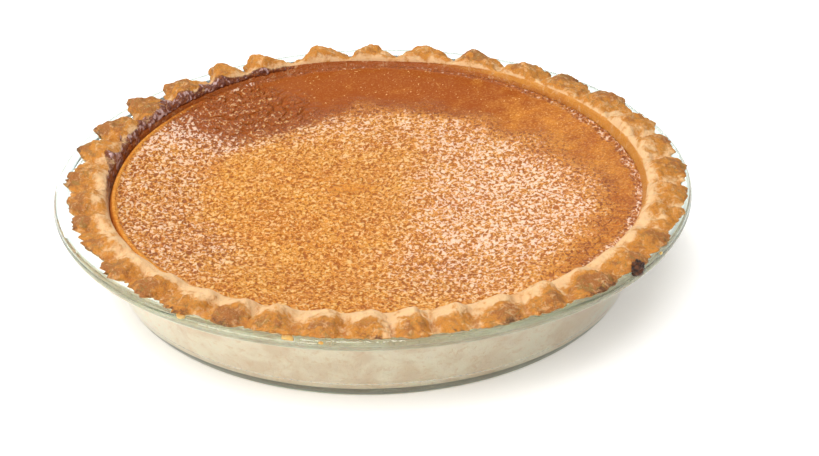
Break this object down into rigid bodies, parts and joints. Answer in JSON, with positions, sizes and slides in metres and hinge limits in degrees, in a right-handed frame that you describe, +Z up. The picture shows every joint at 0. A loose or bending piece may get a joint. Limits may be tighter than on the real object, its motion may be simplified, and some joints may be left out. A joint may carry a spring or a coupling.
{
  "type": "sweet potato pie in a glass dish",
  "caption": "Whole baked custard pie with a crimped pastry edge, in a clear round glass dish with a flat flange and foot ring.",
  "frame": {"origin": "on the table, under the middle of the dish", "axes": "+Z up, +X to the right and -Y towards the viewer as pictured"},
  "size_m": [0.25, 0.25, 0.0465],
  "materials": {
    "glass": "clear pressed glass, faintly green at its edges",
    "pastry": "baked shortcrust pastry, pale on its inner roll and browned on the flutes",
    "custard": "set orange filling with a glossy pebbled skin, darker at the back edge"
  },
  "bodies": {
    "root": {"glass_dish": "glass", "crust": "pastry", "filling": "custard"}
  },
  "joints": []
}
